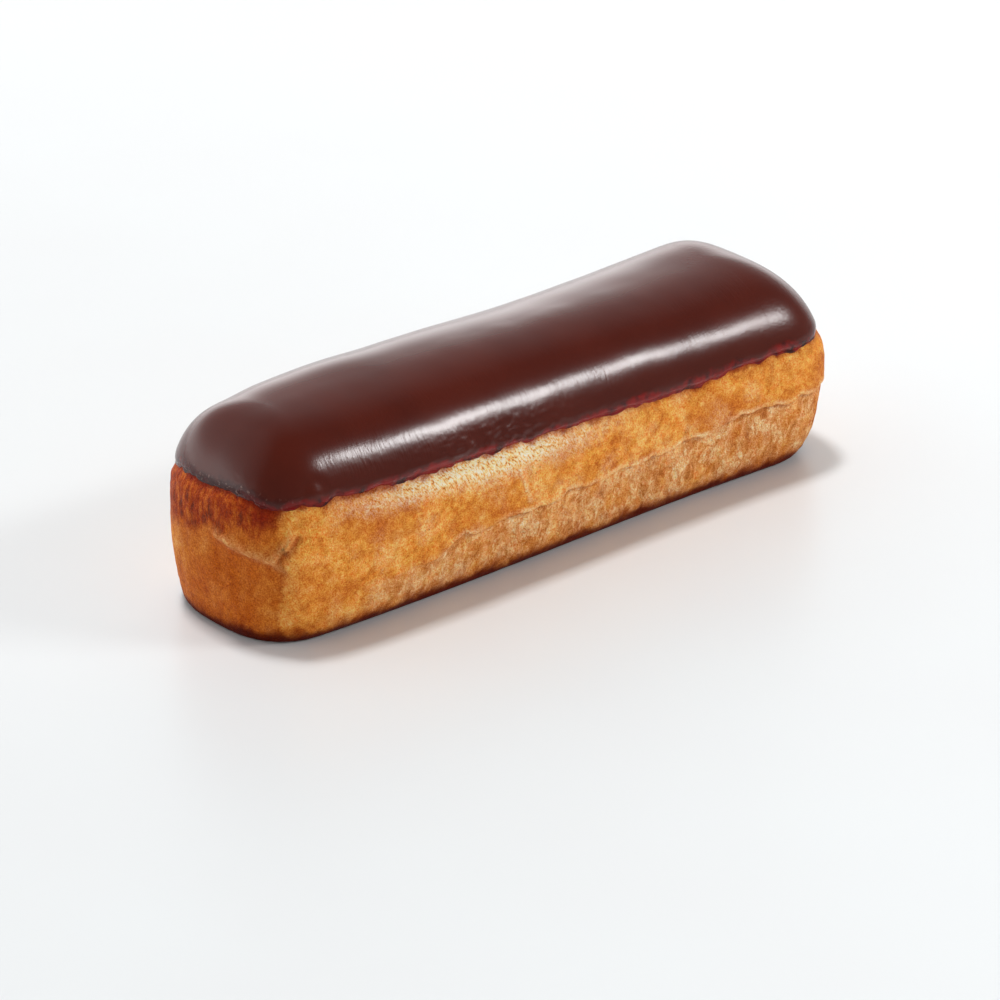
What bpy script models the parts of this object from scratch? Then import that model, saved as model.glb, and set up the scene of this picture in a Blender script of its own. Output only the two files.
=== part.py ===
"""Chocolate eclair: a baked choux bar under a cap of chocolate icing.

Each of the two sub-parts is its own closed solid. The choux bar is a long loaf with
rounded ends, flat where it rests. A lip runs round its side: above it the crust is
full, below it the paler band that stretched last in the oven stands back a little.
The icing is a shell over the bar's top, thick on the crown and thin at its wavy edge.

X runs along the bar and Z up. The origin is at the middle of the bar's base.
"""
import math

import bmesh
import bpy
from mathutils import Vector

MM = 0.001

# Driving dimensions, in millimetres
LENGTH = 145.0
WIDTH = 43.2             # across the sides, at the middle of the bar
HEIGHT = 41.0            # from the base to the crown of the icing
END_REACH = (14.7, 19.6)     # how far the left and the right end round off
END_SQUARENESS = (2.74, 3.1)     # exponents of the ends seen from above

# Cross-section, each as (left end, sides, right end)
WAIST = (0.52, 0.446, 0.36)      # height of the widest level, as a part of the height
BASE_BREADTH = (0.85, 0.83, 0.6)     # breadth of the flat base, as a part of the width
CROWN_SQUARENESS = (2.15, 2.4, 2.2)  # exponent of the section above the widest level
FOOT_SQUARENESS = (2.0, 2.0, 2.3)    # exponent of the section below it

# Unevenness along the bar: the right end is wider, and the back bulges at the left
WIDTH_TREND = (0.036, 0.112)     # linear and cubic part of the width
HEIGHT_TREND = (-0.04, 0.039)    # linear and cubic part of the height
SIDEWAYS_SWING = -0.67           # cubic drift of the middle line, in millimetres

# Icing
ICING_CROWN_DEPTH = 2.2          # from the top of the icing to the crust below it
ICING_EDGE_DEPTH = 0.85          # the same at the edge
ICING_GAP = 0.35                 # clearance between the icing and the crust
EDGE_HEIGHT = (28.7, 26.7, 27.7)     # of the icing's edge: left end, sides, right end
EDGE_SLOPE = -0.9                # change of that height from the middle to the right tip
EDGE_WAVES = ((0.5, 3, 0.4), (0.3, 7, 2.1), (0.22, 13, 4.0))     # height, count, phase
EDGE_BLEND = 8.0                 # height over which the edge depth grows to the crown's
CRUST_STEP = 3.0                 # height below the edge where the crust starts to sink in

# Lip between the crust and the stretched band below it
LIP_HEIGHT = (20.0, 12.9, 16.0)  # left end, middle of the sides, right end
LIP_SLOPE = 4.0                  # rise of the lip from the middle of a side to its right
LIP_DEPTH = (0.3, 0.9, 0.4)
LIP_FADE = 0.3                   # part of that depth left where a side meets the left end
LIP_FADE_FROM = -0.55            # station, from -1 to 1 along the bar, where the fading starts
LIP_FADE_SPAN = 0.25             # length of the fading, in the same measure
FOOT_BLEND = 1.5                 # how fast the depth grows from the base up to the lip

# Mesh density
COLUMNS = 72                     # faces around the bar, a quarter on each end and side
FOOT_ROWS = 4
WALL_ROWS = 6
COVERED_ROWS = 9
ICING_ROWS = 11
CLOSE_ENOUGH = 1e-6              # metres; vertices nearer than this are one


def blend(values, left, right):
    """Mix the values of the left end, the sides and the right end."""
    return values[0] * left + values[1] * (1.0 - left - right) + values[2] * right


def smooth(value):
    """Ease a value from 0 to 1, held at both ends."""
    value = min(max(value, 0.0), 1.0)
    return value * value * (3.0 - 2.0 * value)


def signed_power(value, exponent):
    return math.copysign(abs(value) ** exponent, value)


class Column:
    """One upright strip of the loaf's skin, at a turn from 0 to 4 around the bar.

    Turns 0 to 1 go round the right end, 1 to 2 along the back, 2 to 3 round the left
    end and 3 to 4 along the front.
    """

    def __init__(self, turn):
        self.turn = turn
        quarter = min(int(turn), 3)
        part = turn - quarter
        far_left = -LENGTH / 2 + END_REACH[0]
        far_right = LENGTH / 2 - END_REACH[1]
        self.left = self.right = self.reach = 0.0
        if quarter in (0, 2):
            side = quarter // 2                # 0 is the right end, 1 the left end
            angle = math.radians(180.0 * part - 90.0) + math.pi * side
            power = 2.0 / END_SQUARENESS[1 - side]
            self.spine = far_left if side else far_right
            self.reach = END_REACH[1 - side] * signed_power(math.cos(angle), power)
            self.across = signed_power(math.sin(angle), power)
            weight = math.cos(angle) ** 2
            self.left, self.right = (weight, 0.0) if side else (0.0, weight)
        elif quarter == 1:
            self.spine = far_right + (far_left - far_right) * part
            self.across = 1.0
        else:
            self.spine = far_left + (far_right - far_left) * part
            self.across = -1.0
        self.waist = self.blend(WAIST)
        self.station = (self.spine + self.reach) / (LENGTH / 2)
        self.height = self.height_at(self.station)

    def blend(self, values):
        return blend(values, self.left, self.right)

    @staticmethod
    def height_at(station):
        return HEIGHT * (1.0 + HEIGHT_TREND[0] * station + HEIGHT_TREND[1] * station ** 3)

    def point(self, rise, inset=0.0):
        """Skin point at a rise of 0 (base), 1 (widest level) to 2 (crown), in metres.

        The inset moves it inwards by so many millimetres.
        """
        if rise <= 1.0:
            angle = rise * math.pi / 2
            power = 2.0 / self.blend(FOOT_SQUARENESS)
            foot = self.blend(BASE_BREADTH)
            breadth = foot + (1.0 - foot) * math.sin(angle) ** power
            level = self.waist * (1.0 - max(math.cos(angle), 0.0) ** power)
            sink = 0.0
        else:
            angle = (rise - 1.0) * math.pi / 2
            power = 2.0 / self.blend(CROWN_SQUARENESS)
            breadth = max(math.cos(angle), 0.0) ** power
            above = math.sin(angle) ** power
            level = self.waist + (1.0 - self.waist) * above
            sink = inset * above
        reach = math.copysign(max(abs(self.reach) - inset * (self.left + self.right), 0.0), self.reach)
        x = self.spine + reach * breadth
        station = x / (LENGTH / 2)
        half_width = WIDTH / 2 * (1.0 + WIDTH_TREND[0] * station
                                  + WIDTH_TREND[1] * station ** 3) - inset
        y = SIDEWAYS_SWING * station ** 3 + half_width * self.across * breadth
        z = self.height_at(station) * level - sink
        return Vector((x, y, z)) * MM

    def rise_at(self, height):
        """The rise at which the skin reaches a height in millimetres."""
        level = height / self.height
        if level <= self.waist:
            power = self.blend(FOOT_SQUARENESS) / 2
            return math.acos((1.0 - level / self.waist) ** power) / (math.pi / 2)
        above = (level - self.waist) / (1.0 - self.waist)
        power = self.blend(CROWN_SQUARENESS) / 2
        return 1.0 + math.asin(above ** power) / (math.pi / 2)

    def edge_height(self):
        """Height of the icing's wavy edge."""
        height = self.blend(EDGE_HEIGHT) + EDGE_SLOPE * self.station
        for size, count, phase in EDGE_WAVES:
            height += size * math.sin(count * self.turn * math.pi / 2 + phase)
        return height

    def lip_height(self):
        sides = (LIP_HEIGHT[0], LIP_HEIGHT[1] + LIP_SLOPE * self.station, LIP_HEIGHT[2])
        return self.blend(sides)

    def crust_inset(self, height):
        """How far the crust stands back from the full skin at a height."""
        edge = self.edge_height()
        inset = ICING_EDGE_DEPTH * smooth((height - edge + CRUST_STEP) / CRUST_STEP)
        inset += (ICING_CROWN_DEPTH - ICING_EDGE_DEPTH) * smooth((height - edge) / EDGE_BLEND)
        if height < self.lip_height():
            faded = smooth((LIP_FADE_FROM - self.station) / LIP_FADE_SPAN) * (1.0 - self.left)
            depth = self.blend(LIP_DEPTH) * (1.0 - (1.0 - LIP_FADE) * faded)
            inset += depth * smooth(height / self.lip_height() * FOOT_BLEND)
        return inset


def wrapped_skin(name, rows, place):
    """Wrap a grid of quads round the bar, with one row of vertices for each entry of rows.

    place(column, row) gives a vertex its position.
    """
    bm = bmesh.new()
    bmesh.ops.create_grid(bm, x_segments=COLUMNS, y_segments=len(rows) - 1, size=0.5)
    columns = [Column(4.0 * index / COLUMNS) for index in range(COLUMNS)]
    for vert in bm.verts:
        index = round((vert.co.x + 0.5) * COLUMNS) % COLUMNS
        row = rows[round((vert.co.y + 0.5) * (len(rows) - 1))]
        vert.co = place(columns[index], row)
    bmesh.ops.remove_doubles(bm, verts=bm.verts, dist=CLOSE_ENOUGH)
    rim = [edge for edge in bm.edges if edge.is_boundary]
    if rim:
        bmesh.ops.contextual_create(bm, geom=rim)
    bmesh.ops.recalc_face_normals(bm, faces=bm.faces)
    mesh = bpy.data.meshes.new(name)
    bm.to_mesh(mesh)
    bm.free()
    mesh.shade_smooth()
    return mesh


def finish(name, color, roughness):
    """A Principled material of one colour."""
    material = bpy.data.materials.new(name)
    material.use_nodes = True
    shader = material.node_tree.nodes["Principled BSDF"]
    shader.inputs["Base Color"].default_value = (*color, 1.0)
    shader.inputs["Roughness"].default_value = roughness
    shader.inputs["Metallic"].default_value = 0.0
    return material


def add_object(name, mesh, material):
    mesh.materials.append(material)
    part = bpy.data.objects.new(name, mesh)
    bpy.context.scene.collection.objects.link(part)
    return part


def pastry():
    """The choux bar: foot below the lip, wall up to the icing, and the covered crown."""
    rows = [("foot", index / FOOT_ROWS) for index in range(FOOT_ROWS + 1)]
    rows += [("wall", index / WALL_ROWS) for index in range(WALL_ROWS + 1)]
    rows += [("crown", index / COVERED_ROWS) for index in range(1, COVERED_ROWS + 1)]

    def place(column, row):
        zone, part = row
        lip = column.rise_at(column.lip_height())
        edge = column.rise_at(column.edge_height())
        low, high = {"foot": (0.0, lip), "wall": (lip, edge), "crown": (edge, 2.0)}[zone]
        rise = low + (high - low) * part
        height = column.point(rise).z / MM
        if zone == "foot" and part == 1.0:
            rise = column.rise_at(column.lip_height() - LIP_DEPTH[1])
            height = column.lip_height() - LIP_DEPTH[1]
        if zone == "wall" and part == 0.0:
            height = column.lip_height()
        return column.point(rise, column.crust_inset(height))

    mesh = wrapped_skin("pastry", rows, place)
    return add_object("pastry", mesh, finish("Baked choux crust", (0.50, 0.20, 0.055), 0.55))


def icing():
    """The cap: up the inside from the crown to the edge, then back over the outside."""
    rows = [("inside", 1.0 - index / ICING_ROWS) for index in range(ICING_ROWS + 1)]
    rows += [("outside", index / ICING_ROWS) for index in range(ICING_ROWS + 1)]

    def place(column, row):
        side, part = row
        edge = column.rise_at(column.edge_height())
        rise = edge + (2.0 - edge) * part
        if side == "outside":
            return column.point(rise)
        height = column.point(rise).z / MM
        return column.point(rise, column.crust_inset(height) - ICING_GAP)

    mesh = wrapped_skin("icing", rows, place)
    return add_object("icing", mesh, finish("Chocolate icing", (0.075, 0.018, 0.012), 0.2))


def centre_on_origin(parts):
    """Shift the meshes so that the whole bar's box is centred over the origin."""
    corners = [vert.co for part in parts for vert in part.data.vertices]
    shift = Vector((0.0, 0.0, 0.0))
    for axis in (0, 1):
        values = [corner[axis] for corner in corners]
        shift[axis] = -(min(values) + max(values)) / 2
    for part in parts:
        for vert in part.data.vertices:
            vert.co += shift


def main():
    for old in list(bpy.data.objects):
        bpy.data.objects.remove(old, do_unlink=True)
    centre_on_origin([pastry(), icing()])


main()
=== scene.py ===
"""Chocolate eclair: a baked choux bar under glossy chocolate icing, on a pale floor.

The choux bar and the icing are each one closed skin, wrapped round the bar from a fine
grid of quads. Their sizes come from the frame, and everything below is in millimetres
until a mesh is written. X runs along the bar and Z up.
"""

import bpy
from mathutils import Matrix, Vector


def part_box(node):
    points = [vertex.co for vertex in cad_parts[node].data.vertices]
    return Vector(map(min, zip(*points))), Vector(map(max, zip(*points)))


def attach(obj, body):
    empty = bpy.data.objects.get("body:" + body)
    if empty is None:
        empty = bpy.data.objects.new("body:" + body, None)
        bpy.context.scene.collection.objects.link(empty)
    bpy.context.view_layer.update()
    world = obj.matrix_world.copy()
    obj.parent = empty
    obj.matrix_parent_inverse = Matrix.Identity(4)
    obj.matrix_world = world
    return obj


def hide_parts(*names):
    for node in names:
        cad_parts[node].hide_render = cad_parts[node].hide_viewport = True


bl_info = {
    "name": "Chocolate Eclair",
    "version": (1, 0, 0),
    "blender": (4, 5, 0),
    "location": "View3D > Sidebar > Eclair",
    "description": "Bakes the choux bar, pours its icing and sets the table",
    "category": "Add Mesh",
}

import functools
import math

import bmesh
import bpy
import numpy as np
from bpy.props import FloatProperty, FloatVectorProperty, PointerProperty
from mathutils import Matrix, Vector, noise

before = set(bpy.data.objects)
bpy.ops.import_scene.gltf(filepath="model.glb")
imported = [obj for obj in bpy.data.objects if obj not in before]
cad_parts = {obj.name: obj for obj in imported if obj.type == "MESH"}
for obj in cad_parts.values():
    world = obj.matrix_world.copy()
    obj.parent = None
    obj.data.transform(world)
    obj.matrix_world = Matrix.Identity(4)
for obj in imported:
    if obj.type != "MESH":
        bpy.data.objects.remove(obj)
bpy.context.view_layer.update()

MM = 0.001
QUARTER_TURN = math.pi / 2

# The bar's own sizes, from the frame
PASTRY_LOW, PASTRY_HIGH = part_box("pastry")
ICING_LOW, ICING_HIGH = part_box("icing")
LENGTH = (PASTRY_HIGH.x - PASTRY_LOW.x) / MM
WIDEST = (PASTRY_HIGH.y - PASTRY_LOW.y) / MM
TALLEST = ICING_HIGH.z / MM

# The width and the height change along the bar, by a linear and a cubic part
WIDTH_TREND = (0.036, 0.112)
HEIGHT_TREND = (-0.04, 0.039)
SIDEWAYS_SWING = -0.67
WIDTH = WIDEST / 1.0788          # at the middle of the bar
HEIGHT = TALLEST / 1.0156
END_REACH = (14.7, 19.6)         # how far the left and the right end round off
END_SQUARENESS = (2.74, 3.1)

# Cross-section, each as (left end, sides, right end)
WAIST = (0.52, 0.446, 0.36)
BASE_BREADTH = (0.85, 0.822, 0.60)
CROWN_SQUARENESS = (2.15, 2.4, 2.2)
FOOT_SQUARENESS = (2.0, 2.0, 2.3)

# Icing
EDGE_HEIGHT = (28.7, 26.7, 27.7)     # of the icing's edge: left end, sides, right end
EDGE_SLOPE = -0.9
EDGE_WAVES = ((0.5, 3, 0.4), (0.3, 7, 2.1), (0.22, 13, 4.0))     # height, count, phase
EDGE_RUNS = ((-52.0, 12.0, 0.5), (38.0, 12.0, -1.0), (58.0, 6.0, 0.8))     # where, width, height
EDGE_BLEND = 8.0
CRUST_STEP = 3.0
CROWN_DEPTH = 2.2
EDGE_DEPTH = 0.6

# Lip between the crust and the stretched band below it
LIP_HEIGHT = (20.0, 10.0, 16.0)      # left end, left part of the sides, right end
LIP_STEPS = ((-32.0, 2.4, 5.0), (-3.0, 1.1, 2.0), (19.0, 1.0, 1.5), (37.0, 1.4, 5.0))
LIP_DEPTHS = (0.0, 1.0, 0.05)        # parts of the lip's full depth
LIP_FADE_FROM = -28.0                # along the bar, where the lip starts to fade leftwards
LIP_FADE_OVER = 14.0

# Left end: the crease at its front corner, and two folds that meet there. Each fold is
# the (distance round, height) of its start, the same of its end, and its width. Distances
# round the bar start from the middle of its left end.
CREASE_AT = 18.0
CREASE_TOP = 23.0
LEFT_FOLDS = (((4.0, 20.4), (14.5, 18.0), 1.05), ((14.5, 18.0), (17.8, 16.2), 0.65),
              ((20.2, 23.3), (16.5, 18.5), 0.65))
FRONT_SEAM = ((-14.9, 22.9), (-11.6, 14.2), 0.45)        # by distance along the bar

# Slow swells along the back of the crown: where, width, height
BACK_SWELLS = ((-59.5, 6.0, -0.6), (-38.0, 10.0, 0.35), (16.0, 24.0, -0.7))

# Mesh density
COLUMNS = 900
QUARTERS = (0.0, 0.16, 0.5, 0.66, 1.0)       # shares of the columns: end, back, end, front
PASTRY_ZONES = (("under", 8), ("foot", 32), ("lip", 3), ("wall", 38), ("covered", 12))
ICING_ZONES = (("inside", 12), ("film", 5), ("bead", 8), ("outside", 60))
MERGE_DISTANCE = 1e-6


def linear(hex_color):
    """The linear colour of an sRGB hex string, with full alpha."""
    channels = [int(hex_color[start:start + 2], 16) / 255 for start in (0, 2, 4)]
    return tuple(c / 12.92 if c <= 0.04045 else ((c + 0.055) / 1.055) ** 2.4
                 for c in channels) + (1.0,)


# ---------------------------------------------------------------- shape of the bar

def smooth(value):
    """Ease values from 0 to 1, held at both ends."""
    value = np.clip(value, 0.0, 1.0)
    return value * value * (3.0 - 2.0 * value)


def bell(value, centre, width):
    """A smooth hump of height 1 at the centre."""
    return np.exp(-((value - centre) / width) ** 2)


def signed_power(value, exponent):
    return np.sign(value) * np.abs(value) ** exponent


def speckle(points, size, seed=0.0):
    """Smooth noise of about -1 to 1 at each point, with lumps of the given size.

    The size may be one number or one for each axis.
    """
    scaled = points / np.asarray(size, float) + seed * 7.31
    return np.array([noise.noise(point) for point in scaled.tolist()]) * 1.4


class Skin:
    """The bar's skin at many turns round it: 0 to 1 is the right end, 1 to 2 the back,
    2 to 3 the left end and 3 to 4 the front."""

    def __init__(self, turn):
        self.turn = turn
        quarter = np.minimum(turn.astype(int), 3)
        part = turn - quarter
        far_left = -LENGTH / 2 + END_REACH[0]
        far_right = LENGTH / 2 - END_REACH[1]
        on_right, on_left, on_back = quarter == 0, quarter == 2, quarter == 1
        ends = on_right | on_left
        angle = np.radians(180.0 * part - 90.0) + np.pi * on_left
        power = np.where(on_left, 2.0 / END_SQUARENESS[0], 2.0 / END_SQUARENESS[1])
        reach = np.where(on_left, END_REACH[0], END_REACH[1])
        self.reach = np.where(ends, reach * signed_power(np.cos(angle), power), 0.0)
        self.across = np.where(ends, signed_power(np.sin(angle), power),
                               np.where(on_back, 1.0, -1.0))
        along = np.where(on_back, 1.0 - part, part)
        self.spine = np.where(on_right, far_right, np.where(
            on_left, far_left, far_left + (far_right - far_left) * along))
        self.left = np.where(on_left, np.cos(angle) ** 2, 0.0)
        self.right = np.where(on_right, np.cos(angle) ** 2, 0.0)
        self.waist = self.mix(WAIST)
        self.station = (self.spine + self.reach) / (LENGTH / 2)

    def mix(self, values):
        """Mix the values of the left end, the sides and the right end."""
        sides = 1.0 - self.left - self.right
        return values[0] * self.left + values[1] * sides + values[2] * self.right

    @staticmethod
    def height_at(station):
        return HEIGHT * (1.0 + HEIGHT_TREND[0] * station + HEIGHT_TREND[1] * station ** 3)

    def points(self, rise, inset=0.0):
        """Points at a rise of -1 (middle of the base), 0 (its rim), 1 (widest level)
        to 2 (crown), moved inwards by the inset."""
        foot = self.mix(BASE_BREADTH)
        low = np.clip(rise, 0.0, 1.0) * QUARTER_TURN
        high = np.clip(rise - 1.0, 0.0, 1.0) * QUARTER_TURN
        foot_power = 2.0 / self.mix(FOOT_SQUARENESS)
        crown_power = 2.0 / self.mix(CROWN_SQUARENESS)
        side = foot + (1.0 - foot) * np.sin(low) ** foot_power
        dome = np.maximum(np.cos(high), 0.0) ** crown_power
        above = np.sin(high) ** crown_power
        breadth = np.where(rise < 0.0, foot * (1.0 + rise), np.where(rise <= 1.0, side, dome))
        level = np.where(rise <= 1.0,
                         self.waist * (1.0 - np.maximum(np.cos(low), 0.0) ** foot_power),
                         self.waist + (1.0 - self.waist) * above)
        reach = np.abs(self.reach) - inset * (self.left + self.right)
        x = self.spine + np.sign(self.reach) * np.maximum(reach, 0.0) * breadth
        station = x / (LENGTH / 2)
        half_width = WIDTH / 2 * (1.0 + WIDTH_TREND[0] * station
                                  + WIDTH_TREND[1] * station ** 3) - inset
        y = SIDEWAYS_SWING * station ** 3 + half_width * self.across * breadth
        z = self.height_at(station) * level - inset * np.where(rise <= 1.0, 0.0, above)
        return np.stack([x, y, z], axis=-1)

    def rise_at(self, height):
        """The rise at which the skin reaches a height."""
        level = height / self.height_at(self.station)
        foot = np.clip(1.0 - level / self.waist, 0.0, 1.0) ** (self.mix(FOOT_SQUARENESS) / 2)
        above = np.clip((level - self.waist) / (1.0 - self.waist), 0.0, 1.0)
        crown = above ** (self.mix(CROWN_SQUARENESS) / 2)
        return np.where(level <= self.waist, np.arccos(foot) / QUARTER_TURN,
                        1.0 + np.arcsin(crown) / QUARTER_TURN)

    def rim(self):
        """Points on the bar's widest outline, where lines round the bar take their noise."""
        return self.points(np.ones_like(self.turn))

    def around(self):
        """Distance round the widest outline, from the middle of the left end."""
        return np.interp(self.turn, *OUTLINE)

    def edge_height(self):
        """Height of the lower edge of the icing."""
        rim = self.rim()
        height = self.mix(EDGE_HEIGHT) + EDGE_SLOPE * self.station
        for size, count, phase in EDGE_WAVES:
            height = height + size * np.sin(count * self.turn * QUARTER_TURN + phase)
        for where, width, size in EDGE_RUNS:
            height = height + size * bell(rim[:, 0], where, width) * (self.turn > 3.0)
        height = height - 0.9 * bell(self.around(), CREASE_AT - 2.0, 4.0)
        height = height + 0.30 * speckle(rim, 6.0, 1) + 0.20 * speckle(rim, 2.6, 2)
        return height + (0.10 + 0.15 * self.left) * speckle(rim, 0.9, 3)

    def lip_height(self):
        """Height of the torn lip round the bar's side, which climbs in steps."""
        rim = self.rim()
        height = LIP_HEIGHT[1]
        for where, size, width in LIP_STEPS:
            height = height + size * smooth((rim[:, 0] - where) / width + 0.5)
        height = height + (LIP_HEIGHT[0] - height) * smooth(self.left / 0.4)
        height = height + (LIP_HEIGHT[2] - height) * smooth(self.right / 0.4)
        height = height + 0.35 * speckle(rim, 11.0, 4) - 1.2 * np.abs(speckle(rim, 7.0, 5))
        return height + 0.25 * speckle(rim, 2.2, 6) + 0.15 * speckle(rim, 1.0, 7)


def measure_outline():
    """Turns round the bar, and the distance round it at each from the left end's middle."""
    turns = np.linspace(0.0, 4.0, 4 * 360 + 1)
    steps = np.linalg.norm(np.diff(Skin(turns).rim(), axis=0), axis=1)
    lengths = np.concatenate([[0.0], np.cumsum(steps)])
    return turns, lengths - np.interp(2.5, turns, lengths)


OUTLINE = measure_outline()


def crust_inset(height, edge):
    """How far the crust sinks in towards and under the icing."""
    step = EDGE_DEPTH * smooth((height - edge + CRUST_STEP) / CRUST_STEP)
    return step + (CROWN_DEPTH - EDGE_DEPTH) * smooth((height - edge) / EDGE_BLEND)


def wrapped_grid(name, zones, place):
    """Wrap a grid of quads round the bar and close it.

    zones lists each band of rows, from the start of the skin to its end. place(turn, zone,
    part) gives the position of the vertices of a zone, part running from 0 to 1 in it.
    Returns the mesh, which holds the turn and the zone row of each of its vertices as layers.
    """
    rows = sum(count for _, count in zones)
    bm = bmesh.new()
    bmesh.ops.create_grid(bm, x_segments=COLUMNS, y_segments=rows, size=0.5)
    grid = np.array([vert.co[:2] for vert in bm.verts]) + 0.5
    turn = np.interp(grid[:, 0], QUARTERS, range(len(QUARTERS)))
    turn[turn > 3.999999] = 0.0
    row = np.rint(grid[:, 1] * rows).astype(int)
    points = np.zeros((len(row), 3))
    start = 0
    for zone, count in zones:
        chosen = (row >= start) & (row <= start + count)
        part = (row[chosen] - start) / count
        points[chosen] = place(Skin(turn[chosen]), zone, part)
        start += count
    turn_layer = bm.verts.layers.float.new("turn")
    row_layer = bm.verts.layers.int.new("row")
    for vert, point, around, level in zip(bm.verts, (points * MM).tolist(),
                                          turn.tolist(), row.tolist()):
        vert.co = point
        vert[turn_layer] = around
        vert[row_layer] = level
    bmesh.ops.remove_doubles(bm, verts=bm.verts, dist=MERGE_DISTANCE)
    bmesh.ops.recalc_face_normals(bm, faces=bm.faces)
    mesh = bpy.data.meshes.new(name)
    bm.to_mesh(mesh)
    bm.free()
    mesh.shade_smooth()
    return mesh


def read_layer(mesh, name, kind=float):
    values = np.zeros(len(mesh.vertices), kind)
    mesh.attributes[name].data.foreach_get("value", values)
    return values


def write_layer(mesh, name, values):
    layer = mesh.attributes.new(name, "FLOAT", "POINT")
    layer.data.foreach_set("value", values.astype(np.float32))


def read_points(mesh):
    points = np.zeros(len(mesh.vertices) * 3)
    mesh.vertices.foreach_get("co", points)
    return points.reshape(-1, 3) / MM


def read_normals(mesh):
    normals = np.zeros(len(mesh.vertices) * 3, np.float32)
    mesh.vertex_normals.foreach_get("vector", normals)
    return normals.reshape(-1, 3)


def write_points(mesh, points):
    mesh.vertices.foreach_set("co", (points * MM).astype(np.float32).ravel())
    mesh.update()


def centre(mesh):
    """Shift a skin so that the whole bar's outline is centred, as the frame's is."""
    outline = Skin(np.linspace(0.0, 4.0, 4 * 360, endpoint=False)).rim()
    middle = (outline.min(axis=0) + outline.max(axis=0)) / 2
    mesh.transform(Matrix.Translation((-middle[0] * MM, -middle[1] * MM, 0.0)))


def new_piece(name, mesh, material):
    mesh.materials.clear()
    mesh.materials.append(material)
    piece = bpy.data.objects.new(name, mesh)
    bpy.context.scene.collection.objects.link(piece)
    return piece


# ---------------------------------------------------------------- choux bar

def pastry_place(skin, zone, part):
    """Rows of the choux bar, from the middle of its base up to the covered crown."""
    lip = skin.lip_height()
    edge = skin.rise_at(skin.edge_height())
    low = {"under": -1.0, "foot": 0.0, "lip": skin.rise_at(lip - 0.5),
           "wall": skin.rise_at(lip), "covered": edge}[zone]
    high = {"under": 0.0, "foot": skin.rise_at(lip - 0.5), "lip": skin.rise_at(lip),
            "wall": edge, "covered": 2.0}[zone]
    rise = low + (high - low) * part
    height = skin.points(rise)[:, 2]
    return skin.points(rise, crust_inset(height, skin.edge_height()))


def fold_line(across, height, start, end, width):
    """A soft ridge of height 1 on the line between two places on an end face."""
    run_across, run_up = end[0] - start[0], end[1] - start[1]
    part = (across - start[0]) * run_across + (height - start[1]) * run_up
    part = np.clip(part / (run_across ** 2 + run_up ** 2), 0.0, 1.0)
    gap = np.hypot(across - start[0] - part * run_across, height - start[1] - part * run_up)
    return bell(gap, 0.0, width)


def back_swell(points):
    """Slow rises and dips along the back of the crown."""
    swell = sum(size * bell(points[:, 0], where, width) for where, width, size in BACK_SWELLS)
    return swell * smooth((points[:, 1] + 8.0) / 16.0) * smooth((points[:, 2] - 16.0) / 12.0)


def left_corner(points, skin):
    """Relief of the creased front corner of the left end, with the layers it colours: painted
    shade in its valley and beside the fold ridges, and painted highlights on the fold ridges
    and on the lit side just past the corner.
    """
    around, height = skin.around(), points[:, 2]
    on_end = smooth((around + 26.0) / 6.0) * smooth((34.0 - around) / 6.0)
    wander = 0.35 * speckle(points, 3.5, 41) + 0.2 * speckle(points, 1.2, 42)
    past_crease = around - CREASE_AT + wander
    on_wall = smooth((height - 3.0) / 5.0) * smooth((CREASE_TOP - height) / 3.0)
    # Valley of the creased corner, sunk and coloured as a painted shade
    shaded_crease = bell(past_crease, -0.4, 0.6) * on_wall * smooth((height - 6.0) / 9.0)
    # The side just past the creased corner, raised and coloured paler as a painted highlight
    lit_shoulder = smooth(past_crease / 1.2) * smooth((9.0 - past_crease) / 7.0) * on_wall
    uneven = np.clip(0.8 + 0.5 * speckle(points, 2.4, 43) + 0.4 * speckle(points, 0.9, 46), 0.2, 1.3)
    # Fold ridges, raised and coloured as a painted highlight
    lit_folds = sum(fold_line(around, height, *fold) for fold in LEFT_FOLDS)
    lit_folds = np.clip(lit_folds, 0.0, 1.0) * uneven * on_end
    # Grooves just below the fold ridges, sunk and coloured as a painted shade
    fold_shade = sum(fold_line(around - 0.7, height + 1.0, *fold) for fold in LEFT_FOLDS)
    fold_shade = np.clip(0.8 * fold_shade, 0.0, 0.8) * uneven * on_end
    hollow = bell(around, 9.0, 8.0) * smooth((18.5 - height) / 1.5) * smooth((height - 7.0) / 7.0)
    hollow = hollow * smooth(-past_crease / 1.5) * on_end
    layers = {"lit_folds": np.clip(lit_folds, 0.0, 1.0), "shaded_crease": np.maximum(0.5 * shaded_crease, fold_shade),
              "lit_shoulder": 0.22 * bell(past_crease, 1.8, 1.6) * on_wall * uneven,
              "end_brown": smooth((around + 26.0) / 12.0) * smooth(-past_crease / 1.5)
              * np.clip(0.7 + 0.35 * speckle(points, (3.0, 3.0, 7.0), 47), 0.0, 1.0)}
    return 1.1 * lit_folds - 0.6 * fold_shade - 0.9 * hollow + 0.7 * lit_shoulder - 0.4 * shaded_crease, layers


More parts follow.
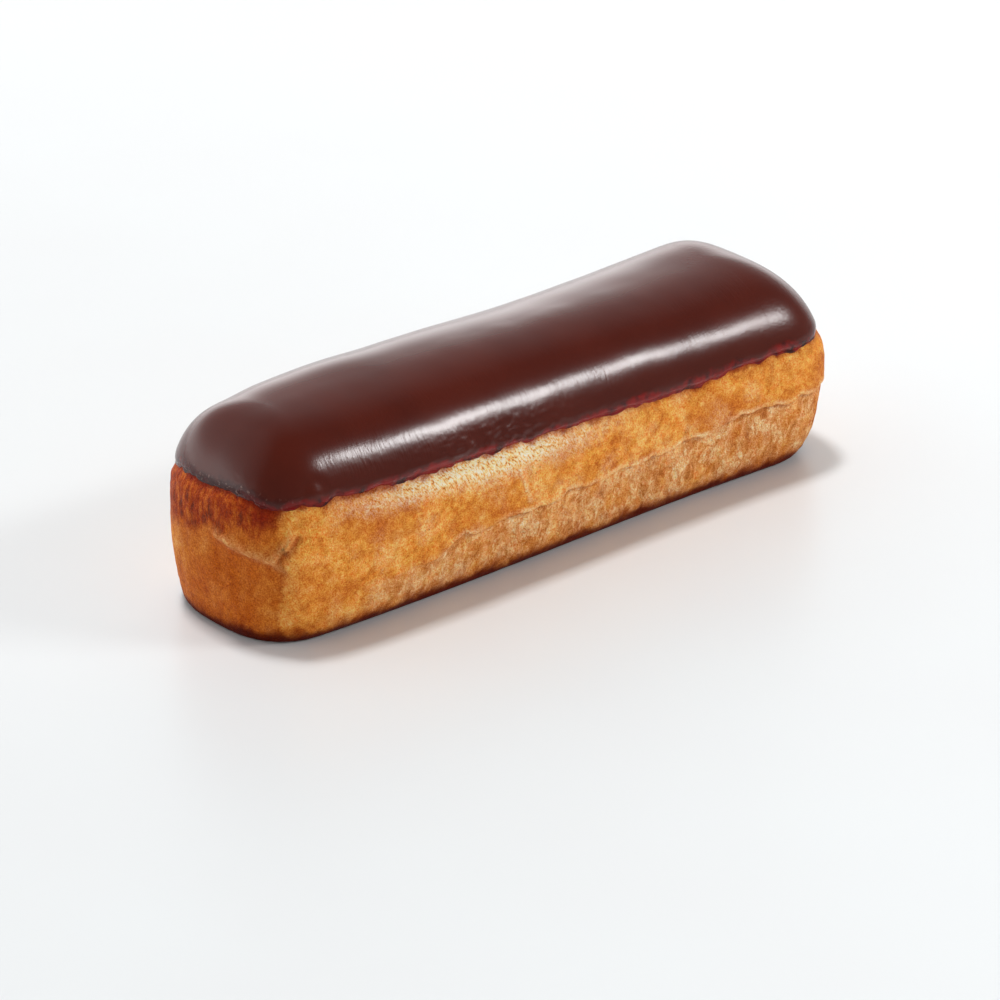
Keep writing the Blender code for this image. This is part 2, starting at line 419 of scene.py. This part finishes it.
def torn_lip(points, skin, depth):
    """Relief of the lip and of the stretched band below it, with the layers it colours,
    among them a painted shadow just under the lip and a painted highlight on the paler
    raised edge of the lip and of the front seam.
    """
    height, rim = points[:, 2], skin.rim()
    below = skin.lip_height() - height
    band = smooth(below / 0.45)
    fade = 1.0 - smooth((LIP_FADE_FROM - rim[:, 0]) / LIP_FADE_OVER)
    reach = skin.mix(LIP_DEPTHS) * fade
    reach = np.clip(reach * (0.85 + 0.45 * speckle(rim, 7.0, 11)), 0.0, 1.3)
    recess = depth * reach * band * (1.0 - 0.75 * smooth((below - 3.0) / 8.0))
    # The lip's raised edge: paler crust with a painted highlight on it, as on the front seam
    lit_crest = reach * bell(below, -0.4, 0.5) * np.clip(0.7 + 0.7 * speckle(points, 4.0, 19), 0, 1)
    fibres = speckle(points, (1.2, 1.2, 5.0), 16) + 0.6 * speckle(points, (0.7, 0.7, 2.2), 17)
    pits = smooth((speckle(points, (1.6, 1.6, 2.2), 18) - 0.25) / 0.4)
    torn = band * np.clip(reach, 0.2, 1.0) * smooth(below / 1.2) * smooth(height / 3.0)
    seam = fold_line(rim[:, 0], height, *FRONT_SEAM) * (skin.turn > 3.0)
    seam = seam * np.clip(0.7 + 0.6 * speckle(points, 2.0, 44), 0.0, 1.0)
    patches = np.clip(0.78 + 0.5 * speckle(points, 3.2, 45), 0.3, 1.0)
    layers = {"band": band * smooth((rim[:, 0] + 56.0) / 16.0) * patches * smooth(height / 4.0),
              # Painted shadow just under the lip's overhang, in the pores' colour
              "lip_shadow": 0.7 * reach * bell(below, 0.45, 0.4) * patches,
              "lit_crest": np.clip(0.9 * lit_crest + 0.8 * seam, 0.0, 0.9)}
    return 0.15 * lit_crest + 0.2 * seam - recess + torn * (0.19 * fibres - 0.3 * pits), layers


def bake_pastry(settings):
    mesh = wrapped_grid("choux_bar", PASTRY_ZONES, pastry_place)
    points = read_points(mesh)
    skin = Skin(read_layer(mesh, "turn"))
    height, around = points[:, 2], skin.around()
    corner, corner_layers = left_corner(points, skin)
    lip, lip_layers = torn_lip(points, skin, settings.lip_depth / MM)
    relief = 0.30 * speckle(points, 23.0, 12) + 0.16 * speckle(points, 8.0, 13)
    relief = relief + 0.08 * speckle(points, 3.2, 14) + 0.045 * speckle(points, 1.3, 15)
    relief = (relief + corner + lip) * smooth(height / 1.5)
    edge_gap = skin.edge_height() - height
    relief = relief * smooth((edge_gap + 1.0) / 2.0) + back_swell(points)
    write_points(mesh, points + read_normals(mesh) * relief[:, None])

    ragged = speckle(points, 3.0, 51) + 0.6 * speckle(points, 1.2, 52)
    drift = speckle(points, 12.0, 53) + 0.12 - 0.35 * bell(points[:, 0], 2.0, 34.0)
    mottle = speckle(points, 2.8, 54) + 0.5 * ragged
    toast_foot = np.interp(around, (-15.0, 4.0, 14.5, 18.0), (16.5, 21.3, 21.8, 24.5))
    on_end = smooth((around + 26.0) / 8.0) * smooth((CREASE_AT - around) / 4.0)
    on_front = smooth((skin.turn - 2.97) / 0.06)
    layers = {
        "browned": 0.55 * smooth(drift / 0.8) + 0.45 * smooth((mottle - 0.1) / 0.9),
        "paled": 0.55 * smooth(-drift / 0.8) * smooth(0.6 - mottle),
        **corner_layers, **lip_layers,
        "toast": 0.9 * on_end * smooth((height - toast_foot - 1.5 * ragged + 1.5) / 4.0),
        "smear": 0.9 * bell(around, 14.5, 4.4) * smooth((5.0 - edge_gap + 1.5 * ragged) / 3.5),
        "soak": 0.85 * smooth((1.5 + 0.5 * ragged - edge_gap) / 1.3),
        "foot": 0.85 * smooth((4.8 + 0.9 * ragged - height) / 4.0),
        "base": 0.95 * smooth((2.9 + 0.5 * ragged - height) / 2.1),
        # Pale wrinkled zone under the icing: dried egg wash, lightened as a painted sheen
        "sheen": on_front * np.clip(1.3 * bell(edge_gap, 2.2, 2.7) * bell(points[:, 0], -24.0, 25.0)
                                    + 0.2 * speckle(points, 5.0, 55), 0.0, 1.0)}
    for name, values in layers.items():
        write_layer(mesh, name, values)
    centre(mesh)
    return new_piece("choux_bar", mesh, choux_crust(settings))


# ---------------------------------------------------------------- icing

FILM_REACH = 0.5         # how far the thin seeping film runs below the icing's thick edge
FILM_DEPTH = 0.1
BEAD_HEIGHT = 1.6        # height over which the rounded edge swells to the full depth
BUBBLE = (-60.5, 29.8)   # a burst bubble on the front, along the bar and up
BUBBLE_SIZE = 1.7


def icing_place(skin, zone, part):
    """Rows of the icing: up under the crown, down the inside, round the edge and back."""
    edge = skin.edge_height()
    film_end = edge - FILM_REACH * np.clip(1.0 + 0.9 * speckle(skin.rim(), 2.0, 21), 0.2, 2.0)
    if zone == "inside":
        low = skin.rise_at(film_end)
        rise = 2.0 + (low - 2.0) * part
        height = skin.points(rise)[:, 2]
        return skin.points(rise, crust_inset(height, edge) + 0.25)
    if zone == "film":
        height = film_end + (edge - film_end) * part
        cover = FILM_DEPTH * smooth(part * 3.0) - 0.02 * (1.0 - part)
        return skin.points(skin.rise_at(height), crust_inset(height, edge) - cover)
    if zone == "bead":
        swell = np.sin(part * QUARTER_TURN)
        height = edge + BEAD_HEIGHT * (1.0 - np.cos(part * QUARTER_TURN))
        inset = (EDGE_DEPTH - FILM_DEPTH) * (1.0 - swell)
        return skin.points(skin.rise_at(height), inset)
    low = skin.rise_at(edge + BEAD_HEIGHT)
    return skin.points(low + (2.0 - low) * part)


def icing_relief(points, skin, edge_gap):
    """Gentle flow waves all over, small wrinkles where the icing set, and one bubble."""
    on_front = skin.turn > 3.0
    near_edge = bell(edge_gap, 1.8, 2.4)
    wrinkled = near_edge * (0.1 + 0.9 * bell(points[:, 0], -18.0, 15.0) * on_front)
    creases = 1.0 - np.abs(speckle(points, (3.0, 2.0, 1.0), 33)) * 3.0
    relief = 0.20 * speckle(points, 26.0, 31) + (0.05 + 0.08 * skin.left) * speckle(points, 10.0, 32)
    relief = relief + 0.024 * on_front * speckle(points, 5.0, 34)
    relief = relief + 0.16 * wrinkled * np.clip(creases, -0.5, 1.0)
    gap = np.hypot(points[:, 0] - BUBBLE[0], points[:, 2] - BUBBLE[1]) / BUBBLE_SIZE
    bubble = bell(gap, 0.0, 0.7) - 0.6 * bell(gap, 1.3, 0.5)
    return relief + 0.17 * bubble * (points[:, 1] < 0.0)


def pour_icing(settings):
    mesh = wrapped_grid("icing_cap", ICING_ZONES, icing_place)
    points = read_points(mesh)
    skin = Skin(read_layer(mesh, "turn"))
    row = read_layer(mesh, "row", np.int32)
    outer = row > ICING_ZONES[0][1] + ICING_ZONES[1][1]
    edge_gap = points[:, 2] - skin.edge_height()
    relief = icing_relief(points, skin, edge_gap) * smooth((edge_gap - 0.1) / 1.2) * outer
    points = points + read_normals(mesh) * (relief + back_swell(points))[:, None]
    write_points(mesh, points)
    ragged = speckle(points, 2.2, 61) + 0.8 * speckle(points, 0.8, 62)
    seep = np.clip(1.3 + 0.9 * speckle(skin.rim(), 7.0, 63), 0.6, 2.2)
    dark_end = skin.left * smooth((2.2 + 0.6 * ragged - edge_gap) / 1.2)
    layers = {"thin": smooth((seep + 0.4 * ragged - edge_gap) / 0.9),
              "dark_end": 0.9 * dark_end,
              "rough_end": smooth((points[:, 0] - 32.0) / 30.0) * smooth((points[:, 2] - 26.0) / 8.0),
              "front": smooth((skin.turn - 2.9) / 0.2) * smooth((-8.0 - points[:, 1]) / 5.0)}
    for name, values in layers.items():
        write_layer(mesh, name, values)
    centre(mesh)
    return new_piece("icing_cap", mesh, chocolate_icing(settings))


# ---------------------------------------------------------------- finishes

def add_node(tree, kind, sockets=None, output=0, stops=(), **settings):
    """Add a node with its settings and return one of its outputs.

    Each input in sockets is given a value, or a link if the value is another node's output.
    stops are a colour ramp's (position, colour) pairs.
    """
    node = tree.nodes.new(kind)
    for name, value in settings.items():
        setattr(node, name, value)
    for socket, value in (sockets or {}).items():
        if isinstance(value, bpy.types.NodeSocket):
            tree.links.new(value, node.inputs[socket])
        else:
            node.inputs[socket].default_value = value
    for index, (position, color) in enumerate(stops):
        elements = node.color_ramp.elements
        element = elements[index] if index < len(elements) else elements.new(position)
        element.position = position
        element.color = color
    return node.outputs[output]


def new_finish(name):
    """A new material, a function that adds nodes to it, and its shader."""
    material = bpy.data.materials.new(name)
    material.use_nodes = True
    tree = material.node_tree
    return material, functools.partial(add_node, tree), tree.nodes["Principled BSDF"]


def per_metre(size_mm):
    """Noise scale that gives features of a size in millimetres."""
    return 1.0 / (size_mm * MM)


def connect(shader, **outputs):
    """Link outputs to the shader's sockets of the same names, spaces as underscores."""
    for name, output in outputs.items():
        shader.id_data.links.new(output, shader.inputs[name.replace("_", " ")])


MIX_FACTOR, MIX_FIRST, MIX_SECOND, MIX_COLOR = 0, 6, 7, 2      # sockets of a colour Mix node


def choux_crust(settings):
    """Egg-washed choux, baked: golden with darker freckles and a low, broken shine."""
    material, add, shader = new_finish("Baked choux crust")
    place = add("ShaderNodeTexCoord", output="Object")

    # Golden ground: blotches of 4 mm with finer and finer mottling inside them
    blotches = add("ShaderNodeTexNoise", {"Vector": place, "Scale": per_metre(3.8), "Detail": 7.0,
                                          "Roughness": 0.7})
    crust = add("ShaderNodeValToRGB", {"Fac": blotches}, stops=[
        (0.31, settings.deep), (0.50, settings.golden), (0.69, settings.pale)])

    # Stretched band: broad soft upright fibres
    fibre_place = add("ShaderNodeMapping", {"Vector": place, "Rotation": (0.0, 0.25, 0.0),
                                            "Scale": (1.0, 1.0, 2.0)}, vector_type="TEXTURE")
    fibres = add("ShaderNodeTexNoise", {"Vector": fibre_place, "Scale": per_metre(1.7),
                                        "Detail": 5.0, "Roughness": 0.62, "Distortion": 1.2})
    torn = add("ShaderNodeMix", {0: 0.45, 2: fibres, 3: blotches})
    torn = add("ShaderNodeValToRGB", {"Fac": torn}, stops=[
        (0.37, settings.band_dark), (0.48, settings.band), (0.60, settings.band_light_and_lip_highlight)])

    # Redder top of the left end: dark upright streaks
    streak_place = add("ShaderNodeMapping", {"Vector": place, "Scale": (1.0, 1.0, 2.6)},
                       vector_type="TEXTURE")
    streaks = add("ShaderNodeTexNoise", {"Vector": streak_place, "Scale": per_metre(1.6),
                                         "Detail": 5.0, "Roughness": 0.65})
    toasted = add("ShaderNodeValToRGB", {"Fac": streaks}, stops=[
        (0.34, settings.toast_dark), (0.48, settings.toast), (0.66, settings.deep)])

    # Fine wrinkles of dried egg wash just under the icing, coloured pale, partly as a painted sheen
    wrinkle_place = add("ShaderNodeMapping", {"Vector": place, "Rotation": (0.0, -0.6, 0.0),
                                              "Scale": (1.0, 1.0, 2.4)}, vector_type="TEXTURE")
    wrinkles = add("ShaderNodeTexNoise", {"Vector": wrinkle_place, "Scale": per_metre(0.36),
                                          "Detail": 2.0})
    glazed_sheen = add("ShaderNodeValToRGB", {"Fac": wrinkles}, stops=[
        (0.26, settings.deep), (0.38, settings.pale), (0.55, settings.glaze_and_sheen)])

    # The coats, each over the ones before it where the mesh's layer of its name says. Some
    # are painted light: shade under the lip, in the creased corner and beside the fold
    # ridges, highlights on the lip's raised edge, past the corner and on the fold ridges,
    # and a sheen on the wrinkles under the icing.
    masks = {}
    for name, coat in (("browned", settings.deep), ("paled", settings.pale),
                       ("end_brown", settings.end_brown), ("toast", toasted), ("band", torn),
                       # Painted shade: the pores' colour under the lip, and the toasted colour in the
                       # creased corner and beside the fold ridges
                       ("lip_shadow", settings.pore_and_shadow), ("shaded_crease", settings.toast),
                       # Painted highlights: pale past the creased corner, the light band colour on
                       # the lip's raised edge and the front seam, and the fold colour on the fold
                       # ridges
                       ("lit_shoulder", settings.pale), ("lit_crest", settings.band_light_and_lip_highlight),
                       ("lit_folds", settings.fold), ("smear", settings.stain),
                       ("sheen", glazed_sheen), ("soak", settings.stain),
                       ("foot", settings.foot), ("base", settings.burnt)):
        masks[name] = add("ShaderNodeAttribute", attribute_name=name, output="Fac")
        crust = add("ShaderNodeMix", {MIX_FACTOR: masks[name], MIX_FIRST: crust,
                                      MIX_SECOND: coat}, output=MIX_COLOR, data_type="RGBA")

    # Freckles of 1 mm and grain of 0.3 mm redden and lift the colour all over
    for size, amount in ((1.0, 0.5), (0.3, 1.0)):
        grain = add("ShaderNodeTexNoise", {"Vector": place, "Scale": per_metre(size),
                                           "Detail": 2.0})
        contrast = add("ShaderNodeValToRGB", {"Fac": grain}, stops=[
            (0.3, settings.grain_dark), (0.7, settings.grain_light)])
        crust = add("ShaderNodeMix", {MIX_FACTOR: amount, MIX_FIRST: crust,
                                      MIX_SECOND: contrast},
                    output=MIX_COLOR, data_type="RGBA", blend_type="OVERLAY")

    # A few small open pores
    pores = add("ShaderNodeTexVoronoi", {"Vector": place, "Scale": per_metre(1.5)}, "Distance")
    pores = add("ShaderNodeMapRange", {"Value": pores, "From Min": 0.14, "From Max": 0.06})
    crowded = add("ShaderNodeMapRange", {"Value": blotches, "From Min": 0.50, "From Max": 0.60,
                                         "To Max": 0.75})
    pores = add("ShaderNodeMath", {0: pores, 1: crowded}, operation="MULTIPLY")
    crust = add("ShaderNodeMix", {MIX_FACTOR: pores, MIX_FIRST: crust, MIX_SECOND: settings.pore_and_shadow},
                output=MIX_COLOR, data_type="RGBA")

    relief = grain
    for bumps, name in ((fibres, "band"), (wrinkles, "sheen"), (streaks, "toast")):
        relief = add("ShaderNodeMath", {0: bumps, 1: masks[name], 2: relief},
                     operation="MULTIPLY_ADD")
    bump = add("ShaderNodeBump", {"Height": relief, "Strength": 1.0, "Distance": 0.30 * MM})
    gloss = add("ShaderNodeMapRange", {"Value": masks["sheen"], "To Min": 0.5, "To Max": 0.3})
    connect(shader, Base_Color=crust, Roughness=gloss, Normal=bump)
    shader.inputs["IOR"].default_value = 1.45
    shader.inputs["Specular IOR Level"].default_value = 0.07
    shader.inputs["Subsurface Weight"].default_value = 0.06
    shader.inputs["Subsurface Radius"].default_value = (1.0, 0.4, 0.15)
    shader.inputs["Subsurface Scale"].default_value = 1.2 * MM
    return material


def chocolate_icing(settings):
    """Poured chocolate icing, set: dark, smooth and glossy, wine-red where it thins out."""
    material, add, shader = new_finish("Set chocolate icing")
    place = add("ShaderNodeTexCoord", output="Object")
    drifts = add("ShaderNodeTexNoise", {"Vector": place, "Scale": per_metre(14.0), "Detail": 2.0})
    body = add("ShaderNodeValToRGB", {"Fac": drifts}, stops=[
        (0.35, settings.chocolate), (0.65, settings.chocolate_warm)])
    depth = add("ShaderNodeTexNoise", {"Vector": place, "Scale": per_metre(2.6), "Detail": 4.0})
    seeped = add("ShaderNodeValToRGB", {"Fac": depth}, stops=[
        (0.34, settings.fringe_dark), (0.54, settings.fringe)])
    crumbs = add("ShaderNodeTexNoise", {"Vector": place, "Scale": per_metre(0.6), "Detail": 2.0})
    dusty = add("ShaderNodeValToRGB", {"Fac": crumbs}, stops=[
        (0.58, settings.fringe_dark), (0.72, settings.dust)])
    for name, coat in (("thin", seeped), ("dark_end", dusty)):
        mask = add("ShaderNodeAttribute", attribute_name=name, output="Fac")
        body = add("ShaderNodeMix", {MIX_FACTOR: mask, MIX_FIRST: body, MIX_SECOND: coat},
                   output=MIX_COLOR, data_type="RGBA")

    # Streaks of the last flow, down over the front, which feather the shine
    flow_place = add("ShaderNodeMapping", {"Vector": place, "Scale": (1.0, 5.0, 4.0)},
                     vector_type="TEXTURE")
    flow = add("ShaderNodeTexNoise", {"Vector": flow_place, "Scale": per_metre(0.45),
                                      "Detail": 2.0})
    front = add("ShaderNodeAttribute", attribute_name="front", output="Fac")
    rough_end = add("ShaderNodeAttribute", attribute_name="rough_end", output="Fac")
    grit = add("ShaderNodeMath", {0: crumbs, 1: rough_end}, operation="MULTIPLY")
    relief = add("ShaderNodeMath", {0: flow, 1: front, 2: grit}, operation="MULTIPLY_ADD")
    bump = add("ShaderNodeBump", {"Height": relief, "Strength": 0.5, "Distance": 0.075 * MM})
    blur = add("ShaderNodeMapRange", {"Value": rough_end, "To Min": settings.roughness,
                                      "To Max": settings.roughness + 0.07})
    connect(shader, Base_Color=body, Roughness=blur, Normal=bump)
    shader.inputs["IOR"].default_value = 1.47
    shader.inputs["Specular IOR Level"].default_value = 0.3
    shader.inputs["Subsurface Weight"].default_value = 0.05
    shader.inputs["Subsurface Radius"].default_value = (1.0, 0.25, 0.12)
    shader.inputs["Subsurface Scale"].default_value = 0.8 * MM
    return material


def satin_board(settings):
    """Satin painted board: an even pale surface with only a blurred reflection."""
    material, add, shader = new_finish("Satin painted board")
    place = add("ShaderNodeTexCoord", output="Object")
    drift = add("ShaderNodeTexNoise", {"Vector": place, "Scale": per_metre(60.0), "Detail": 2.0})
    shade = add("ShaderNodeValToRGB", {"Fac": drift}, stops=[
        (0.3, settings.floor), (0.7, settings.floor_shade)])
    connect(shader, Base_Color=shade)
    shader.inputs["Roughness"].default_value = 0.3
    return material


# ---------------------------------------------------------------- stage

FLOOR_SIZE = 8.0
FLOOR_DROP = 0.05        # millimetres below the bar's base
LENS = 149.8
SENSOR = 36.0
AIM = Vector((0.4, 1.2, 2.6))

# Softboxes: name, azimuth and elevation in degrees, distance and (length, height) in metres,
# radiance, whether it lights the scene, and whether the icing mirrors it. A long hot core
# in two dimmer boxes gives the icing its soft-edged line of light.
SOFTBOXES = (
    ("key softbox core", 39.8, 33.5, 0.90, (0.252, 0.09), 24.0, True, True),
    ("key softbox middle", 39.8, 33.5, 0.905, (0.272, 0.14), 19.5, False, True),
    ("key softbox", 39.8, 33.5, 0.91, (0.292, 0.18), 6.4, True, True),
    ("low fill", 10.0, 6.0, 1.50, (0.70, 0.30), 7.5, True, False),
    ("top softbox", 180.0, 76.0, 3.00, (0.55, 0.40), 76.0, True, False),
)
PATCH_SIDE = Vector((-0.525, 0.473, 0.707))


def direction(azimuth, elevation):
    """Unit vector from the bar towards a place; azimuth 0 is the front, 90 the right end."""
    return Vector((math.sin(azimuth) * math.cos(elevation),
                   -math.cos(azimuth) * math.cos(elevation), math.sin(elevation)))


def add_softbox(name, azimuth, elevation, distance, size, radiance, lights, mirrored):
    """A rectangular diffused lamp that faces the bar, its length along the bar's."""
    lamp = bpy.data.lights.new(name, "AREA")
    lamp.shape = "RECTANGLE"
    lamp.size, lamp.size_y = size
    lamp.energy = radiance * math.pi * size[0] * size[1]
    box = bpy.data.objects.new(name, lamp)
    bpy.context.scene.collection.objects.link(box)
    away = direction(math.radians(azimuth), math.radians(elevation))
    along = (Vector((1.0, 0.0, 0.0)) - away * away.x).normalized()
    turn = Matrix((along, away.cross(along), away)).transposed()
    box.matrix_world = Matrix.Translation(away * distance) @ turn.to_4x4()
    box.visible_diffuse = lights
    box.visible_glossy = mirrored


def set_floor(settings):
    bm = bmesh.new()
    bmesh.ops.create_grid(bm, x_segments=1, y_segments=1, size=FLOOR_SIZE / 2)
    bmesh.ops.translate(bm, verts=bm.verts, vec=(0.0, 0.0, -FLOOR_DROP * MM))
    mesh = bpy.data.meshes.new("floor")
    bm.to_mesh(mesh)
    bm.free()
    floor = new_piece("floor", mesh, satin_board(settings))


def set_sky(settings):
    """A studio: dim in front and overhead, bright low down behind the bar, with a soft pale
    patch behind its left end."""
    world = bpy.data.worlds.new("studio")
    world.use_nodes = True
    bpy.context.scene.world = world
    tree = world.node_tree
    place = add_node(tree, "ShaderNodeTexCoord", output="Generated")
    up = add_node(tree, "ShaderNodeSeparateXYZ", {"Vector": place}, output="Z")
    back = add_node(tree, "ShaderNodeSeparateXYZ", {"Vector": place}, output="Y")
    back = add_node(tree, "ShaderNodeMapRange", {"Value": back, "From Min": -0.1, "From Max": 0.4})
    behind = ((0.0, 2.8), (0.2, 2.6), (0.36, 1.1), (0.43, 0.95), (0.55, 0.75), (0.8, 0.6))
    ahead = ((0.0, 0.34), (0.3, 0.2), (1.0, 0.12))
    skies = [add_node(tree, "ShaderNodeValToRGB", {"Fac": up},
                      stops=[(height, (grey, grey, grey, 1.0)) for height, grey in greys])
             for greys in (ahead, behind)]
    sky = add_node(tree, "ShaderNodeMix", {MIX_FACTOR: back, MIX_FIRST: skies[0],
                                           MIX_SECOND: skies[1]},
                   output=MIX_COLOR, data_type="RGBA")
    patch = add_node(tree, "ShaderNodeVectorMath", {0: place, 1: PATCH_SIDE}, output="Value",
                     operation="DOT_PRODUCT")
    patch = add_node(tree, "ShaderNodeMapRange", {"Value": patch, "From Min": 0.78, "From Max": 0.98,
                                                  "To Max": 0.2}, interpolation_type="SMOOTHSTEP")
    sky = add_node(tree, "ShaderNodeMix", {MIX_FACTOR: 1.0, MIX_FIRST: sky, MIX_SECOND: patch},
                   output=MIX_COLOR, data_type="RGBA", blend_type="ADD")
    tree.links.new(sky, tree.nodes["Background"].inputs["Color"])
    tree.nodes["Background"].inputs["Strength"].default_value = settings.sky


def set_camera(settings):
    camera = bpy.data.cameras.new("camera")
    camera.lens = LENS
    camera.sensor_width = SENSOR
    camera.clip_start = 0.01
    stand = bpy.data.objects.new("camera", camera)
    bpy.context.scene.collection.objects.link(stand)
    away = direction(settings.azimuth, settings.elevation)
    turn = away.to_track_quat("Z", "Y").to_matrix().to_4x4()
    stand.matrix_world = Matrix.Translation(AIM * MM + away * settings.distance) @ turn
    bpy.context.scene.camera = stand


# ---------------------------------------------------------------- add-on

def color_property(name, hex_color, description):
    return FloatVectorProperty(name=name, description=description, subtype="COLOR", size=4,
                               min=0.0, max=1.0, default=linear(hex_color))


class CrustSettings(bpy.types.PropertyGroup):
    lip_depth: FloatProperty(name="Lip depth", description="How far the stretched band stands back",
                             default=1.1 * MM, unit="LENGTH")
    golden: color_property("Golden", "E9A548", "Main colour of the crust")
    deep: color_property("Deep", "BB6D25", "Freckles and darker patches of the crust")
    # Also the painted highlight past the creased corner, and part of the painted sheen under the
    # icing
    pale: color_property("Pale", "F4C376", "Lighter patches of the crust")
    # Also the painted shadow just under the lip
    pore_and_shadow: color_property("Pore", "8A4A16", "Small open pores")
    end_brown: color_property("Left end", "B16014", "Browner crust of the left end")
    # This colour is a painted highlight on the fold ridges of the left end
    fold: color_property("Folds", "D9A466", "Drier crust on the folds of the left end")
    grain_dark: color_property("Grain, dark", "A9865E", "Overlaid on the crust, half grey is none")
    grain_light: color_property("Grain, light", "D8D5DC", "The same for the light grain")
    # Dried egg wash, also lightened as a painted sheen on the wrinkles under the icing
    glaze_and_sheen: color_property("Glaze", "FFF0D6", "Dried egg wash on the wrinkles under the icing")
    band: color_property("Band", "D0995A", "Stretched band below the lip")
    band_dark: color_property("Band, dark", "A3672E", "Furrows between its fibres")
    # Also the painted highlight on the lip's raised edge and the front seam
    band_light_and_lip_highlight: color_property("Band, light", "F2D3A4", "Tops of its fibres")
    # Also the painted shade in the creased corner and beside the fold ridges
    toast: color_property("Toasted", "93360F", "Redder crust of the left end")
    toast_dark: color_property("Toasted, dark", "4A1E1C", "Streaks in that crust")
    stain: color_property("Stain", "7E220C", "Crust that soaked up icing at its edge")
    foot: color_property("Foot", "84370B", "Browned crust near the base")
    burnt: color_property("Base line", "4E1305", "Darkest crust where the bar rests")


class IcingSettings(bpy.types.PropertyGroup):
    roughness: FloatProperty(name="Roughness", description="Blur of the icing's shine",
                             default=0.2, min=0.0, max=1.0)
    chocolate: color_property("Chocolate", "49180F", "Main colour of the icing")
    chocolate_warm: color_property("Chocolate, warm", "4F1B11", "Slightly lighter drifts")
    fringe: color_property("Fringe", "7C0A01", "Wine-red film where the icing thins out")
    fringe_dark: color_property("Fringe, dark", "300402", "Where that film is deeper or has dried")
    dust: color_property("Dust", "7C5E55", "Dry crumbs on the icing's edge at the left end")


class StageSettings(bpy.types.PropertyGroup):
    floor: color_property("Floor", "DEE1E2", "Painted floor")
    floor_shade: color_property("Floor, shade", "DDDFE0", "Faint drift in the paint")
    sky: FloatProperty(name="Sky", description="Strength of the surrounding light", default=1.0)
    azimuth: FloatProperty(name="Azimuth", description="Camera's turn round the bar from its front",
                           default=math.radians(-41.784), unit="ROTATION")
    elevation: FloatProperty(name="Elevation", description="Camera's height as an angle",
                             default=math.radians(25.7), unit="ROTATION")
    distance: FloatProperty(name="Distance", description="From the camera to what it looks at",
                            default=0.8134, unit="LENGTH")


class ECLAIR_OT_bake_pastry(bpy.types.Operator):
    """Bake the choux bar"""
    bl_idname = "eclair.bake_pastry"
    bl_label = "Bake Choux Bar"

    def execute(self, context):
        piece = bake_pastry(context.scene.eclair_crust)
        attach(piece, "root")
        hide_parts("pastry")
        return {"FINISHED"}


class ECLAIR_OT_pour_icing(bpy.types.Operator):
    """Pour the chocolate icing over the bar"""
    bl_idname = "eclair.pour_icing"
    bl_label = "Pour Icing"

    def execute(self, context):
        piece = pour_icing(context.scene.eclair_icing)
        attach(piece, "root")
        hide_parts("icing")
        return {"FINISHED"}


class ECLAIR_OT_set_stage(bpy.types.Operator):
    """Set the floor, the light and the camera"""
    bl_idname = "eclair.set_stage"
    bl_label = "Set Stage"

    def execute(self, context):
        settings = context.scene.eclair_stage
        set_floor(settings)
        set_sky(settings)
        set_camera(settings)
        for softbox in SOFTBOXES:
            add_softbox(*softbox)
        context.scene.view_settings.view_transform = "Standard"
        return {"FINISHED"}


class ECLAIR_PT_bakery(bpy.types.Panel):
    bl_idname = "ECLAIR_PT_bakery"
    bl_label = "Chocolate Eclair"
    bl_space_type = "VIEW_3D"
    bl_region_type = "UI"
    bl_category = "Eclair"

    def draw(self, context):
        groups = ((context.scene.eclair_crust, ECLAIR_OT_bake_pastry),
                  (context.scene.eclair_icing, ECLAIR_OT_pour_icing),
                  (context.scene.eclair_stage, ECLAIR_OT_set_stage))
        for settings, step in groups:
            box = self.layout.box()
            for name in settings.__annotations__:
                box.prop(settings, name)
            box.operator(step.bl_idname)


CLASSES = (CrustSettings, IcingSettings, StageSettings, ECLAIR_OT_bake_pastry,
           ECLAIR_OT_pour_icing, ECLAIR_OT_set_stage, ECLAIR_PT_bakery)


def register():
    for cls in CLASSES:
        bpy.utils.register_class(cls)
    bpy.types.Scene.eclair_crust = PointerProperty(type=CrustSettings)
    bpy.types.Scene.eclair_icing = PointerProperty(type=IcingSettings)
    bpy.types.Scene.eclair_stage = PointerProperty(type=StageSettings)


def unregister():
    del bpy.types.Scene.eclair_stage
    del bpy.types.Scene.eclair_icing
    del bpy.types.Scene.eclair_crust
    for cls in reversed(CLASSES):
        bpy.utils.unregister_class(cls)


def main():
    register()
    bpy.ops.eclair.bake_pastry()
    bpy.ops.eclair.pour_icing()
    bpy.ops.eclair.set_stage()


if __name__ == "__main__":
    main()
